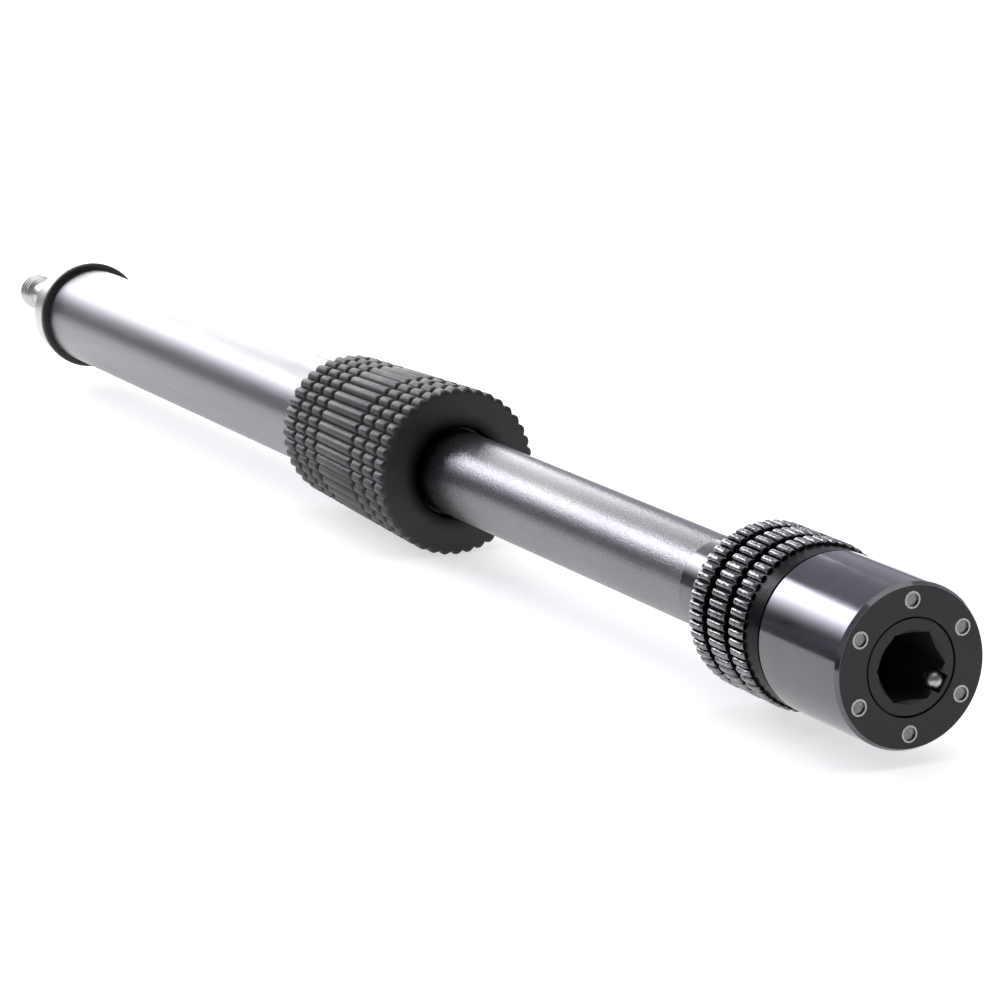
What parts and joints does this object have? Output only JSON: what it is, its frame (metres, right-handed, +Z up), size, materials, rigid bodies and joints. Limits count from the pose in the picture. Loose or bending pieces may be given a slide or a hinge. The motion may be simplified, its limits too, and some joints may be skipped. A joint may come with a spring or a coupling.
{
  "type": "boom pole",
  "caption": "Telescoping boom pole with a ribbed rubber twist lock, a quick-release hex socket behind a knurled ring, and a threaded stud at the butt end.",
  "frame": {"origin": "on the table under the middle of the pole, at the bottom of the bounding box", "axes": "+X along the pole towards the hex socket, +Z up"},
  "size_m": [0.4648, 0.038, 0.0381],
  "materials": {
    "satin_tube": "bead-blasted, clear anodised",
    "thick_tube": "smooth satin anodised",
    "dark_sleeve": "gloss dark anodised",
    "black_metal": "bright black anodised",
    "black_plate": "matte black anodised",
    "bare_metal": "turned",
    "steel": "ground",
    "grip_rubber": "matte moulded",
    "seal_rubber": "smooth",
    "slide_plastic": "natural acetal"
  },
  "bodies": {
    "outer_pole": {"outer_tube": "thick_tube", "bumper_ring": "seal_rubber", "butt_plug": "bare_metal", "butt_stud": "bare_metal", "clutch_body": "bare_metal", "clutch_grub_screws": "steel", "clutch_collet": "slide_plastic"},
    "clutch_thrust": {"thrust_washer": "steel"},
    "clutch_knob": {"clutch_nut": "black_metal", "clutch_grip": "grip_rubber", "front_wiper": "seal_rubber", "rear_guide_ring": "slide_plastic"},
    "inner_pole": {"inner_tube": "satin_tube", "glide_bush": "slide_plastic", "inner_end_plug": "slide_plastic", "neck_ferrule": "thick_tube", "coupler_body": "black_metal", "coupler_sleeve": "dark_sleeve", "face_plate": "black_plate", "face_pins": "steel", "hex_socket": "black_plate", "socket_screw": "steel", "release_spring": "steel"},
    "release": {"release_ring": "black_metal", "actuator_sleeve": "steel", "ring_drive_pins": "steel"},
    "detent": {"detent_ball": "steel"}
  },
  "joints": [
    {"name": "clutch_advance", "type": "slide", "parent": "outer_pole", "child": "clutch_thrust", "axis": [1, 0, 0], "range_m": [0, 0.00112]},
    {"name": "clutch_turn", "type": "hinge", "parent": "clutch_thrust", "child": "clutch_knob", "pos_m": [0.0094, 0, 0.01905], "axis": [1, 0, 0], "range_deg": [0, 270]},
    {"name": "pole_extend", "type": "slide", "parent": "outer_pole", "child": "inner_pole", "axis": [1, 0, 0], "range_m": [-0.118, 0.03]},
    {"name": "release_pull", "type": "slide", "parent": "inner_pole", "child": "release", "axis": [-1, 0, 0], "range_m": [0, 0.0045], "stiffness_N_per_m": 1500, "springref_m": -0.003, "deforming": ["release_spring"]},
    {"name": "ball_retract", "type": "slide", "parent": "inner_pole", "child": "detent", "axis": [0, 0.866, -0.5], "range_m": [0, 0.0012]}
  ],
  "couplings": [
    {"joint": "clutch_turn", "follows": "clutch_advance", "rad_per_m": 4188.8},
    {"joint": "ball_retract", "follows": "release_pull", "ratio": 0.2667}
  ]
}
